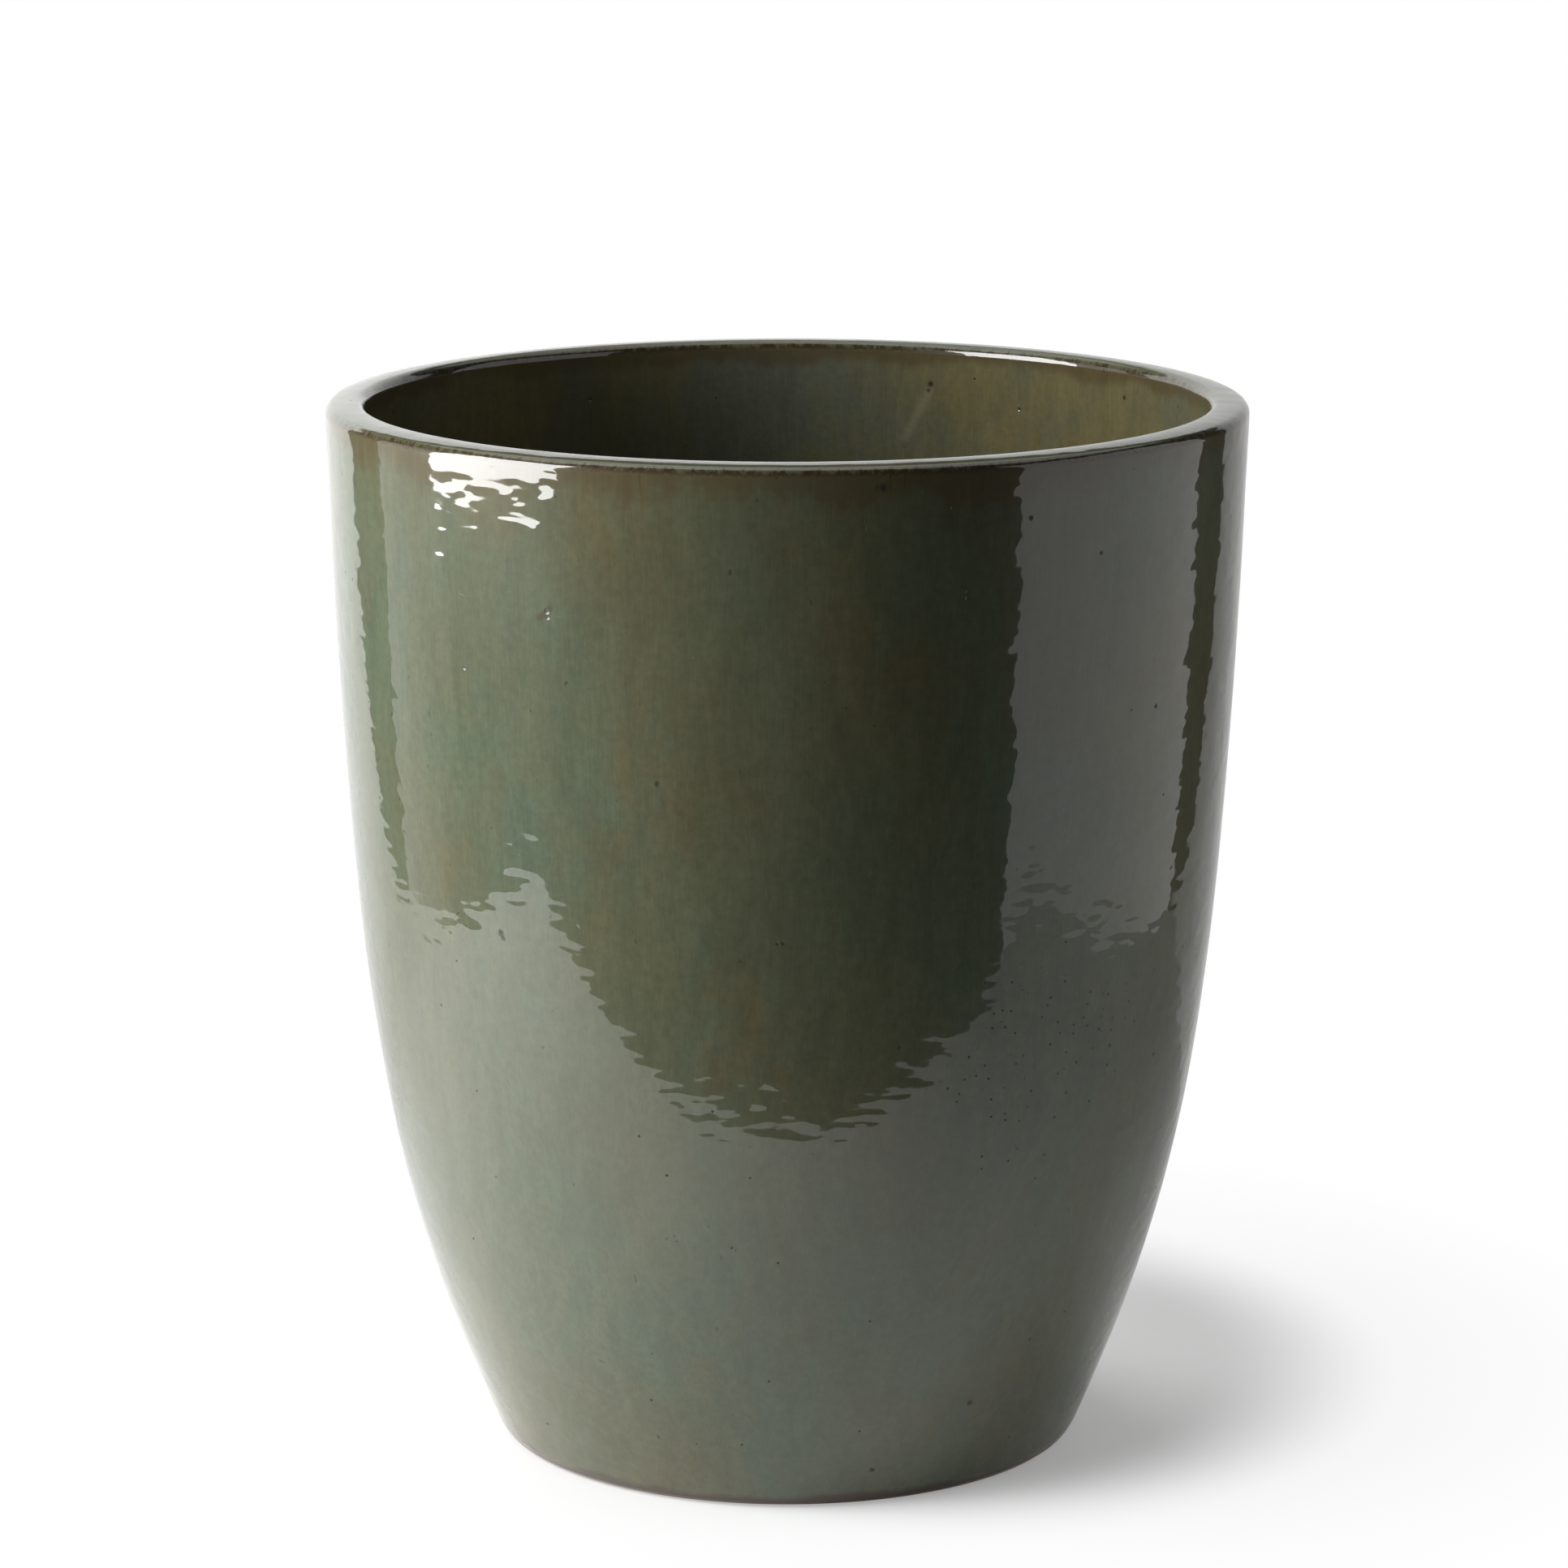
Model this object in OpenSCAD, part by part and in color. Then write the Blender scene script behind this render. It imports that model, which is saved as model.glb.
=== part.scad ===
// Tall glazed terracotta planter with a drain hole and a rubber stopper.
// Millimetres, +Z up. The origin is on the floor, on the pot's own axis.
// The pot is a body of revolution: every clay and glaze solid is one closed outline
// turned about Z, and the glaze coats share their inner outline with the clay.

/* [Pot] */
// Height from the floor to the top of the lip
height = 462; // [400:1:520]
// Outer radius at the rim
rim_r = 200; // [180:1:220]
// Wall thickness at the rim, glaze included
rim_wall = 17.4; // [14:0.1:22]
// Wall thickness where the wall meets the floor, glaze included
base_wall = 20; // [17:0.5:24]
// Lean of the wall at the rim, from upright, in degrees
rim_lean = 1.7; // [0:0.1:4]
// How far the straight stretch of the wall reaches down from the rim
rim_reach = 265; // [200:1:290]
// Slope of the wall at the foot, from the floor, in degrees
foot_slope = 67; // [60:1:75]
// How far the slope of the foot reaches up into the wall
foot_reach = 119; // [80:1:150]

/* [Lip] */
// Rounding of the lip's outer edge
lip_outer_round = 4.5; // [3:0.5:6]
// Rounding of the lip's inner edge
lip_inner_round = 4.5; // [3:0.5:6]
// Width of the level ring on top of the lip
lip_flat = 2; // [1:0.5:4]
// Slope to which the top of the lip falls outwards, in degrees
lip_fall = 12; // [6:1:20]

/* [Foot] */
// Radius at which the foot leaves the floor
foot_r = 120; // [110:1:130]
// Rounding of the foot's outer corner
foot_round = 11; // [8:0.5:14]
// Width of the flat ring that stands on the floor
foot_width = 22; // [15:1:30]
// Height of the hollow under the base
foot_recess = 4; // [3:0.5:6]
// Height above the floor at which the outer glaze stops
glaze_line = 1.8; // [1:0.1:4]

/* [Base] */
// Thickness of the clay base
base_t = 17; // [14:0.5:24]
// Radius of the drain hole
drain_r = 14; // [10:0.5:18]
// Bare clay left round the top of the drain hole
drain_margin = 3; // [2:0.5:6]

/* [Glaze] */
// Thickness of the glaze coats
glaze_t = 0.9; // [0.7:0.1:1.2]

/* [Stopper] */
// Gap all round between the stopper and the drain hole
stopper_gap = 0.1; // [0.05:0.01:0.1]
// Radius of the stopper's sealing flange
flange_r = 25; // [22:0.5:30]
// Thickness of the flange at its edge
flange_t = 4; // [3:0.5:6]
// Gap between the flange and the glazed floor
flange_gap = 0.2; // [0.1:0.05:0.3]
// Radius of the pull knob
knob_r = 11; // [9:0.5:13]
// Height of the knob above the floor of the pot
knob_rise = 22; // [18:1:30]

/* [Hidden] */
$fn = 96;
clay_colour = [0.56, 0.38, 0.29];
outer_glaze_colour = [0.33, 0.36, 0.27];
inner_glaze_colour = [0.30, 0.29, 0.18];
rubber_colour = [0.10, 0.10, 0.10];

wall_steps = 36;
lip_steps = 6;
foot_steps = 8;
corner_steps = 8;
// The inner wall ends at this share of the way up the outer wall's curve
inner_wall_start = 0.17;
// The floor of the pot, at the top of its glaze
floor_z = foot_recess + base_t + glaze_t;
// Length of the curve between the inner wall and the floor, measured on the floor
corner_run = 34;
// Width of the sloping side of the hollow under the base
recess_slope = 4;

// The lip is three arcs: a rounded inner edge, a level ring, a top that falls away
// outwards, and a rounded outer edge. These are the arcs' centres.
lip_inner_c = [rim_r - rim_wall + lip_inner_round, height - lip_inner_round];
lip_top_start = lip_inner_c[0] + lip_flat;
lip_top_round = (rim_r - lip_outer_round - lip_top_start) / sin(lip_fall) + lip_outer_round;
lip_top_c = [lip_top_start, height - lip_top_round];
lip_outer_c = lip_top_c + (lip_top_round - lip_outer_round) * [sin(lip_fall), cos(lip_fall)];
// The foot's arc centre, shared by the bare clay and the glaze over it
foot_c = [foot_r, foot_round];
// The angle at which the foot's arc meets the wall
foot_top_angle = foot_slope - 90;

function at(angle) = [cos(angle), sin(angle)];
function arc(centre, radius, from, to, steps) =
    [for (i = [0:steps]) centre + radius * at(from + (to - from) * i / steps)];
function reversed(points) = [for (i = [len(points) - 1:-1:0]) points[i]];

// The outer wall is one cubic curve from the foot's arc to the lip's outer arc.
wall_foot = foot_c + (foot_round + glaze_t) * at(foot_top_angle);
wall_rim = lip_outer_c + lip_outer_round * at(-rim_lean);
wall_low = wall_foot + foot_reach * at(foot_slope);
wall_high = wall_rim - rim_reach * at(90 - rim_lean);

function wall_point(t) = pow(1 - t, 3) * wall_foot + 3 * pow(1 - t, 2) * t * wall_low
    + 3 * (1 - t) * t * t * wall_high + pow(t, 3) * wall_rim;
function wall_run(t) = pow(1 - t, 2) * (wall_low - wall_foot)
    + 2 * (1 - t) * t * (wall_high - wall_low) + t * t * (wall_rim - wall_high);
// A point that lies a given depth inside the outer wall, square to it
function wall_inset(t, depth) =
    let (run = wall_run(t)) wall_point(t) + depth * [-run[1], run[0]] / norm(run);
function wall_depth(t) = rim_wall + (base_wall - rim_wall) * pow(1 - t, 2);

// Outside of the pot from the foot to the middle of the lip, a given depth under the glaze.
function foot_arc(depth, from) =
    arc(foot_c, foot_round + glaze_t - depth, from, foot_top_angle, foot_steps);
function outer_wall(depth) = [for (i = [1:wall_steps]) wall_inset(i / wall_steps, depth)];
function lip_outer_arc(depth) = concat(
    arc(lip_outer_c, lip_outer_round - depth, -rim_lean + 10, 90 - 1.5 * lip_fall, lip_steps),
    arc(lip_top_c, lip_top_round - depth, 90 - lip_fall, 90, lip_steps)
);
function lip_inner_arc(depth) =
    arc(lip_inner_c, lip_inner_round - depth, 90, 180 - rim_lean, lip_steps);

// Inside of the pot from the top of the wall to a given radius on the floor.
function inner_wall(depth) = [for (i = [wall_steps:-1:0])
    let (t = inner_wall_start + (1 - inner_wall_start) * i / wall_steps)
    wall_inset(t, wall_depth(t) - depth)];
function floor_corner(depth) =
    let (
        top = inner_wall(depth)[wall_steps],
        above = inner_wall(depth)[wall_steps - 1],
        fall = (above - top) / (above[1] - top[1]),
        floor_y = floor_z - depth,
        bend = top - fall * (top[1] - floor_y),
        end = bend - [corner_run, 0]
    )
    [for (i = [1:corner_steps])
        let (s = i / corner_steps)
        pow(1 - s, 2) * top + 2 * (1 - s) * s * bend + s * s * end];
function inside(depth, edge_r) =
    concat(inner_wall(depth), floor_corner(depth), [[edge_r, floor_z - depth]]);

// The angle on the foot's arc where the outer glaze stops
glaze_stop_angle = acos((foot_round - glaze_line) / foot_round) - 90;

// A stretch of coat: the outline at the surface, and back along the clay under it.
module coat(surface, under) {
    rotate_extrude() polygon(concat(surface, reversed(under)));
}

// Fired red clay: wall, base, foot ring and the drilled drain hole in one piece.
module clay_body() {
    color(clay_colour)
    difference() {
        rotate_extrude() polygon(concat(
            [[0, foot_recess], [foot_r - foot_width - recess_slope, foot_recess],
             [foot_r - foot_width, 0]],
            foot_arc(glaze_t, -90),
            outer_wall(glaze_t),
            lip_outer_arc(glaze_t),
            lip_inner_arc(glaze_t),
            inside(glaze_t, 0)
        ));
        translate([0, 0, foot_recess - 1]) cylinder(r = drain_r, h = base_t + 2);
    }
}

// Green glaze over the outside and the lip, ending just above the floor.
module outer_glaze() {
    color(outer_glaze_colour)
    coat(
        concat(foot_arc(0, glaze_stop_angle), outer_wall(0), lip_outer_arc(0),
               lip_inner_arc(0)),
        concat(foot_arc(glaze_t, glaze_stop_angle), outer_wall(glaze_t),
               lip_outer_arc(glaze_t), lip_inner_arc(glaze_t))
    );
}

// Poured glaze over the inner wall and the floor, cut back round the drain hole.
module inner_glaze() {
    color(inner_glaze_colour)
    coat(
        concat([lip_inner_arc(0)[lip_steps]], inside(0, drain_r + drain_margin)),
        concat([lip_inner_arc(glaze_t)[lip_steps]], inside(glaze_t, drain_r + drain_margin))
    );
}

// Moulded rubber stopper: a stem in the drain hole, a sealing flange and a pull knob.
module drain_stopper() {
    stem_r = drain_r - stopper_gap;
    stem_taper = 1.4;
    stem_end = foot_recess - 2;
    seat_z = floor_z + flange_gap;
    flange_crown = 1.5;
    neck_r = 6.5;
    knob_round = 4.5;
    knob_top = floor_z + knob_rise;
    color(rubber_colour)
    rotate_extrude() polygon(concat(
        [[0, stem_end], [stem_r - stem_taper - 1, stem_end], [stem_r - stem_taper, stem_end + 1],
         [stem_r, floor_z - glaze_t - 2], [stem_r, seat_z], [flange_r, seat_z]],
        arc([flange_r - flange_t / 2, seat_z + flange_t / 2], flange_t / 2, 0, 90, lip_steps),
        [[neck_r + 3, seat_z + flange_t + flange_crown]],
        arc([neck_r + 2, seat_z + flange_t + flange_crown + 2], 2, 270, 180, lip_steps),
        arc([knob_r - knob_round, knob_top - knob_round], knob_round, -60, 90, lip_steps),
        [[0, knob_top]]
    ));
}

clay_body();
outer_glaze();
inner_glaze();
drain_stopper();
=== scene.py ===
import math

import bpy
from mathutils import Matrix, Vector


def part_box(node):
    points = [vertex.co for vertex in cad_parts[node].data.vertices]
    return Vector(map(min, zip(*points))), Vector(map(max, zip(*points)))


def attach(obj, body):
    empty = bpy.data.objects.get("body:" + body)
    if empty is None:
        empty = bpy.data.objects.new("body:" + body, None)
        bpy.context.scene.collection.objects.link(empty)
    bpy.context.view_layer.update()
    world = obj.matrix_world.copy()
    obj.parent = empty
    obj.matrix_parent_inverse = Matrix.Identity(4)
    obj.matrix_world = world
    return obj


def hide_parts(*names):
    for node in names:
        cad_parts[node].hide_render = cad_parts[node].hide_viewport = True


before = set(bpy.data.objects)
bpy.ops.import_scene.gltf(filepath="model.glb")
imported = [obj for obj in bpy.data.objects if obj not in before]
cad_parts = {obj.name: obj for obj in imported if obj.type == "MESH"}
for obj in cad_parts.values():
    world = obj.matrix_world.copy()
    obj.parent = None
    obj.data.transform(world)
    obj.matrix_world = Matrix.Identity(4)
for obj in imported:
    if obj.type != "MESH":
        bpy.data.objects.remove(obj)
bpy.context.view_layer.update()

# ---------------------------------------------------------------------------------------------
# Camera: a long lens 0.8 m above the floor, looking slightly down on the pot, so that the mouth
# shows as a flat oval and the sides stay nearly straight.
camera_sensor_mm, camera_lens_mm = 36.0, 127.4
camera_distance, camera_height, camera_aside = 2.3888, 0.8018, -0.0014
camera_tilt_down = math.radians(12.095)

camera_data = bpy.data.cameras.new("camera")
camera_data.sensor_width = camera_sensor_mm
camera_data.lens = camera_lens_mm
camera_data.clip_start = 0.05
camera_data.clip_end = 50.0
camera = bpy.data.objects.new("camera", camera_data)
bpy.context.scene.collection.objects.link(camera)
camera.location = (camera_aside, -camera_distance, camera_height)
camera.rotation_euler = (math.pi / 2 - camera_tilt_down, 0.0, 0.0)
bpy.context.scene.camera = camera
bpy.context.scene.view_settings.view_transform = "Standard"
bpy.context.scene.view_settings.look = "None"

# ---------------------------------------------------------------------------------------------
# Studio: a white paper sweep, flat under the pot and curved up behind it, a tall softbox on the
# left and a dimmer panel on the right. The room in front and above is dark, so the glaze shows
# the paper's front edge in its lower half and deep colour above it.
paper_left, paper_right = -0.87, 0.83
paper_front, paper_bend = -0.475, 0.40
paper_bend_radius, paper_bend_steps = 0.28, 16
paper_wall_top = 0.82
paper_width, paper_middle = paper_right - paper_left, (paper_right + paper_left) / 2
paper_colour = (0.86, 0.86, 0.86, 1.0)
shadow_centre = (0.019, 0.081, 0.0)
shadow_core, shadow_edge, shadow_end = 0.176, 0.269, 0.40


def add_node(tree, kind, inputs=None, **settings):
    """Adds a shader node, sets it up, and fills or links its inputs."""
    node = tree.nodes.new(kind)
    for name, value in settings.items():
        setattr(node, name, value)
    for key, value in (inputs or {}).items():
        if isinstance(value, bpy.types.NodeSocket):
            tree.links.new(value, node.inputs[key])
        else:
            node.inputs[key].default_value = value
    return node


def maths(tree, operation, *values):
    return add_node(tree, "ShaderNodeMath", dict(enumerate(values)), operation=operation).outputs[0]


def times(tree, first, second):
    return maths(tree, "MULTIPLY", first, second)


def ramp(tree, value, start, end, at_start, at_end, how="LINEAR"):
    """Turns a value between start and end into one between at_start and at_end."""
    node = add_node(tree, "ShaderNodeMapRange",
                    {"Value": value, "From Min": start, "From Max": end,
                     "To Min": at_start, "To Max": at_end}, interpolation_type=how)
    return node.outputs["Result"]


def fade(tree, value, start, end, at_start=0.0, at_end=1.0):
    """As ramp does, but with soft ends."""
    return ramp(tree, value, start, end, at_start, at_end, "SMOOTHSTEP")


def new_material(name):
    """A material, its node tree and its surface shader."""
    material = bpy.data.materials.new(name)
    material.use_nodes = True
    return material, material.node_tree, material.node_tree.nodes["Principled BSDF"]


def white_paper(name, glow=0.0):
    """Matt white paper or paint, which may glow by itself."""
    paper, tree, shader = new_material(name)
    shader.inputs["Base Color"].default_value = paper_colour
    shader.inputs["Roughness"].default_value = 0.9
    shader.inputs["Specular IOR Level"].default_value = 0.1
    shader.inputs["Emission Color"].default_value = (1.0, 1.0, 1.0, 1.0)
    shader.inputs["Emission Strength"].default_value = glow
    return paper, tree, shader


def flat_sheet(name, width, depth, centre, turn=0.0):
    """A flat rectangle, turned on edge by turn and moved to its place."""
    bpy.ops.object.select_all(action="DESELECT")
    bpy.ops.mesh.primitive_plane_add(size=1.0)
    sheet = bpy.context.object
    sheet.name = name
    bpy.ops.object.mode_set(mode="EDIT")
    bpy.ops.transform.resize(value=(width, depth, 1.0), center_override=(0.0, 0.0, 0.0))
    bpy.ops.transform.rotate(value=-turn, orient_axis="Y", center_override=(0.0, 0.0, 0.0))
    bpy.ops.transform.translate(value=centre)
    bpy.ops.object.mode_set(mode="OBJECT")
    return sheet


paper_floor = flat_sheet("paper_floor", paper_width, paper_bend - paper_front,
                         (paper_middle, (paper_bend + paper_front) / 2, 0.0))
floor_paper, tree, shader = white_paper("floor_paper")
paper_floor.data.materials.append(floor_paper)

# Painted light: the floor paper glows by itself for stray light, most on the open floor in front,
# less under the pot's curve, behind the pot and on the side away from the key softbox. Painted
# shade greys the paper's colour there too.
place = tree.nodes.new("ShaderNodeTexCoord").outputs["Object"]
axes = add_node(tree, "ShaderNodeSeparateXYZ", {0: place}).outputs
from_pot = add_node(tree, "ShaderNodeVectorMath", {0: place}, operation="LENGTH").outputs["Value"]
painted_fill_glow = ramp(tree, from_pot, 0.10, 0.45, 0.06, 0.24)
painted_fill_glow = times(tree, painted_fill_glow, ramp(tree, axes["Y"], 0.05, 0.35, 1.0, 0.45))
painted_fill_glow = times(tree, painted_fill_glow, ramp(tree, axes["X"], 0.10, 0.60, 1.0, 0.30))
tree.links.new(painted_fill_glow, shader.inputs["Emission Strength"])
painted_floor_shade = times(tree, ramp(tree, axes["Y"], 0.0, 0.35, 0.86, 0.58),
               ramp(tree, axes["X"], 0.10, 0.45, 1.0, 0.55))
tree.links.new(painted_floor_shade, shader.inputs["Base Color"])

# Seen directly, the floor gets a painted white glow that grows away from the pot and lifts the
# shadow, so only the shadow beside the foot shows on it.
from_shadow = add_node(tree, "ShaderNodeVectorMath", {0: place, 1: shadow_centre},
                       operation="DISTANCE").outputs["Value"]
painted_white_lift = maths(tree, "ADD", fade(tree, from_shadow, shadow_core, shadow_edge, 0.18, 0.86),
               ramp(tree, from_shadow, 0.25, shadow_end, 0.0, 0.14))
seen = tree.nodes.new("ShaderNodeLightPath").outputs["Is Camera Ray"]
plain_white = tree.nodes.new("ShaderNodeEmission").outputs["Emission"]
mixed = add_node(tree, "ShaderNodeMixShader",
                 # Painted light: the camera sees the paper mixed with plain white glow by
                 # painted_white_lift.
                 {"Fac": times(tree, painted_white_lift, seen), 1: shader.outputs["BSDF"], 2: plain_white})
tree.links.new(mixed.outputs["Shader"], tree.nodes["Material Output"].inputs["Surface"])

# The wall starts as the back edge of a square, pulled up along the bend and then straight.
bpy.ops.object.select_all(action="DESELECT")
bpy.ops.mesh.primitive_plane_add(size=1.0)
paper_wall = bpy.context.object
paper_wall.name = "paper_wall"
bpy.ops.object.mode_set(mode="EDIT")
bpy.ops.mesh.delete(type="ONLY_FACE")
bpy.ops.object.mode_set(mode="OBJECT")
for edge in paper_wall.data.edges:
    edge.select = all(paper_wall.data.vertices[i].co.y > 0 for i in edge.vertices)
for vert in paper_wall.data.vertices:
    vert.select = vert.co.y > 0
bpy.ops.object.mode_set(mode="EDIT")
bpy.ops.mesh.select_mode(type="VERT")
bpy.ops.mesh.select_all(action="INVERT")
bpy.ops.mesh.delete(type="VERT")
bpy.ops.mesh.select_all(action="SELECT")
bpy.ops.transform.resize(value=(paper_width, 1.0, 1.0), center_override=(0.0, 0.0, 0.0))
bpy.ops.transform.translate(value=(paper_middle, paper_bend - 0.5, 0.0))
for step in range(paper_bend_steps):
    low = math.pi / 2 * step / paper_bend_steps
    high = math.pi / 2 * (step + 1) / paper_bend_steps
    forward = paper_bend_radius * (math.sin(high) - math.sin(low))
    upward = paper_bend_radius * (math.cos(low) - math.cos(high))
    bpy.ops.mesh.extrude_region_move(TRANSFORM_OT_translate={"value": (0.0, forward, upward)})
straight_up = (0.0, 0.0, paper_wall_top - paper_bend_radius)
bpy.ops.mesh.extrude_region_move(TRANSFORM_OT_translate={"value": straight_up})
bpy.ops.object.mode_set(mode="OBJECT")
bpy.ops.object.shade_smooth()
wall_paper, tree, shader = white_paper("wall_paper")
place = tree.nodes.new("ShaderNodeTexCoord").outputs["Object"]
up = add_node(tree, "ShaderNodeSeparateXYZ", {0: place}).outputs["Z"]
# Painted shade: the wall paper's colour darkens towards the floor, for the dimmer light low down.
tree.links.new(ramp(tree, up, 0.0, 0.45, 0.58, 0.82), shader.inputs["Base Color"])
paper_wall.data.materials.append(wall_paper)
paper_wall.visible_camera = False
paper_wall.visible_shadow = False


def softbox(name, centre, towards, width, height, radiance):
    """A flat lamp that lights the pot and shows as a rectangle in its glaze."""
    lamp = bpy.data.lights.new(name, "AREA")
    lamp.shape = "RECTANGLE"
    lamp.size = width
    lamp.size_y = height
    lamp.energy = radiance * math.pi * width * height
    lamp_object = bpy.data.objects.new(name, lamp)
    bpy.context.scene.collection.objects.link(lamp_object)
    lamp_object.location = centre
    across = math.atan2(towards[1] - centre[1], towards[0] - centre[0])
    run = math.hypot(towards[0] - centre[0], towards[1] - centre[1])
    pitch = math.atan2(towards[2] - centre[2], run)
    lamp_object.rotation_euler = (math.pi / 2 + pitch, 0.0, across - math.pi / 2)
    lamp_object.visible_camera = False
    return lamp_object


softbox("key_softbox", (-1.40, -0.42, 0.90), (0.0, 0.0, 0.90), 1.0, 1.46, 13.4)
softbox("side_panel", (1.00, -0.13, 0.55), (0.0, -0.13, 0.55), 1.17, 1.5, 0.775)
back_light = softbox("back_softbox", (-0.6, 1.5, 2.3), (0.0, 0.0, 0.2), 1.5, 1.2, 4.5)
back_light.visible_glossy = False


def gloss_card(name, width, depth, centre, turn, glow):
    """A dim surface of the room that only shows mirrored in the glaze."""
    card = flat_sheet(name, width, depth, centre, turn)
    paint, tree, shader = white_paper(name + "_paint", glow)
    card.data.materials.append(paint)
    card.visible_camera = False
    card.visible_diffuse = False
    card.visible_shadow = False
    return tree, shader


# The ceiling's dim glow, which mostly the rounded lip mirrors, and the room's side wall beyond
# the key softbox, brighter towards the back.
gloss_card("dim_ceiling", 2.6, 2.2, (0.0, 0.9, 2.1), 0.0, 0.42)
tree, shader = gloss_card("side_wall", 1.5, 0.80, (-1.62, 0.35, 0.35), math.pi / 2, 0.0)
place = tree.nodes.new("ShaderNodeTexCoord").outputs["Object"]
along = add_node(tree, "ShaderNodeSeparateXYZ", {0: place}).outputs["Y"]
tree.links.new(ramp(tree, along, -0.05, 0.75, 0.0, 0.85), shader.inputs["Emission Strength"])

world = bpy.data.worlds.new("dark_room")
bpy.context.scene.world = world
world.use_nodes = True
sky = world.node_tree
room_dark = sky.nodes["Background"]
room_dark.inputs["Color"].default_value = (0.004, 0.004, 0.004, 1.0)
room_white = add_node(sky, "ShaderNodeBackground", {"Color": (1.0, 1.0, 1.0, 1.0)})
seen = sky.nodes.new("ShaderNodeLightPath").outputs["Is Camera Ray"]
choose = add_node(sky, "ShaderNodeMixShader",
                  {"Fac": seen, 1: room_dark.outputs["Background"],
                   2: room_white.outputs["Background"]})
sky.links.new(choose.outputs["Shader"], sky.nodes["World Output"].inputs["Surface"])

# ---------------------------------------------------------------------------------------------
# Clay body: one thick shell of red earthenware, pressed in a mould and turned on its foot, with a
# hollow under the base and a drain hole drilled before firing. Glaze hides all of it but the
# foot, the hollow and the hole. The wall is one curve, from the foot's rounding to the lip's.
rim_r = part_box("outer_glaze")[1][0]
pot_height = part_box("outer_glaze")[1][2]
rim_wall, base_wall = 0.0174, 0.020
rim_lean, rim_reach = math.radians(1.7), 0.265
foot_slope, foot_reach = math.radians(67.0), 0.119
lip_outer_round, lip_inner_round = 0.0045, 0.0045
lip_flat, lip_fall = 0.002, math.radians(12.0)
foot_r, foot_round, foot_width, foot_recess = 0.120, 0.011, 0.022, 0.004
base_thickness, drain_r = 0.017, 0.014
glaze_thickness, glaze_line = 0.0009, 0.0018
clay_floor = foot_recess + base_thickness
pot_floor = clay_floor + glaze_thickness
floor_corner_run = 0.034
inner_wall_start = 0.17
recess_round, edge_round = 0.0015, 0.0012
turning_rings, ring_steps, ring_depth = 24, 4, 0.0003


def around(centre, radius, angle):
    """The point at an angle round a centre in the turning plane: (radius from the axis, height)."""
    return (centre[0] + radius * math.cos(angle), centre[1] + radius * math.sin(angle))


def arc(centre, radius, start, end, steps):
    return [around(centre, radius, start + (end - start) * i / steps) for i in range(steps + 1)]


lip_inner_centre = (rim_r - rim_wall + lip_inner_round, pot_height - lip_inner_round)
lip_top_start = lip_inner_centre[0] + lip_flat
lip_top_round = (rim_r - lip_outer_round - lip_top_start) / math.sin(lip_fall) + lip_outer_round
lip_top_centre = (lip_top_start, pot_height - lip_top_round)
lip_edge = math.pi / 2 - lip_fall
lip_outer_centre = around(lip_top_centre, lip_top_round - lip_outer_round, lip_edge)
lip_inner_end = math.pi - rim_lean
foot_centre = (foot_r, foot_round)
foot_top = foot_slope - math.pi / 2
glaze_stop = math.acos((foot_round - glaze_line) / foot_round) - math.pi / 2

wall_foot = around(foot_centre, foot_round + glaze_thickness, foot_top)
wall_rim = around(lip_outer_centre, lip_outer_round, -rim_lean)
wall_low = (wall_foot[0] + foot_reach * math.cos(foot_slope),
            wall_foot[1] + foot_reach * math.sin(foot_slope))
wall_high = (wall_rim[0] - rim_reach * math.sin(rim_lean),
             wall_rim[1] - rim_reach * math.cos(rim_lean))


def wall_inset(share, depth):
    """The point of the wall's curve at a share of its way up, moved square to it into the wall."""
    back = 1.0 - share
    weights = (back ** 3, 3 * back * back * share, 3 * back * share * share, share ** 3)
    runs = (back * back, 2 * back * share, share * share)
    knots = (wall_foot, wall_low, wall_high, wall_rim)
    place = [sum(w * k[i] for w, k in zip(weights, knots)) for i in range(2)]
    run = [sum(w * (b[i] - a[i]) for w, a, b in zip(runs, knots, knots[1:])) for i in range(2)]
    length = math.hypot(run[0], run[1])
    return (place[0] - depth * run[1] / length, place[1] + depth * run[0] / length)


def outer_wall(depth, steps):
    return [wall_inset(i / steps, depth) for i in range(1, steps + 1)]


def lip_outer_arc(depth, edge_steps, top_steps):
    """The lip's rounded outer edge and the top that falls away from its level ring."""
    edge_start = -rim_lean + (lip_edge + rim_lean) / edge_steps
    top_start = lip_edge + lip_fall / top_steps
    edge = arc(lip_outer_centre, lip_outer_round - depth, edge_start, lip_edge, edge_steps - 1)
    return edge + arc(lip_top_centre, lip_top_round - depth, top_start, math.pi / 2, top_steps - 1)


def inner_wall(depth, steps):
    """The inner wall from the lip down, thicker towards the base."""
    points = []
    for i in range(steps, -1, -1):
        share = inner_wall_start + (1 - inner_wall_start) * i / steps
        thickness = rim_wall + (base_wall - rim_wall) * (1 - share) ** 2
        points.append(wall_inset(share, thickness - depth))
    return points


def floor_corner(depth, steps):
    """The curve between the inner wall and the floor, down to the floor's level."""
    above, top = inner_wall(depth, 40)[-2:]
    fall = (above[0] - top[0]) / (above[1] - top[1])
    bend = (top[0] - fall * (top[1] - pot_floor + depth), pot_floor - depth)
    end = (bend[0] - floor_corner_run, bend[1])
    points = []
    for i in range(1, steps + 1):
        s = i / steps
        weights = ((1 - s) ** 2, 2 * (1 - s) * s, s * s)
        shares = [(w * r, w * z) for w, (r, z) in zip(weights, (top, bend, end))]
        points.append((sum(r for r, z in shares), sum(z for r, z in shares)))
    return points


def between(start, end, steps):
    """The points after start on a straight run to end."""
    return [(start[0] + (end[0] - start[0]) * i / steps, start[1] + (end[1] - start[1]) * i / steps)
            for i in range(1, steps + 1)]


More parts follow.
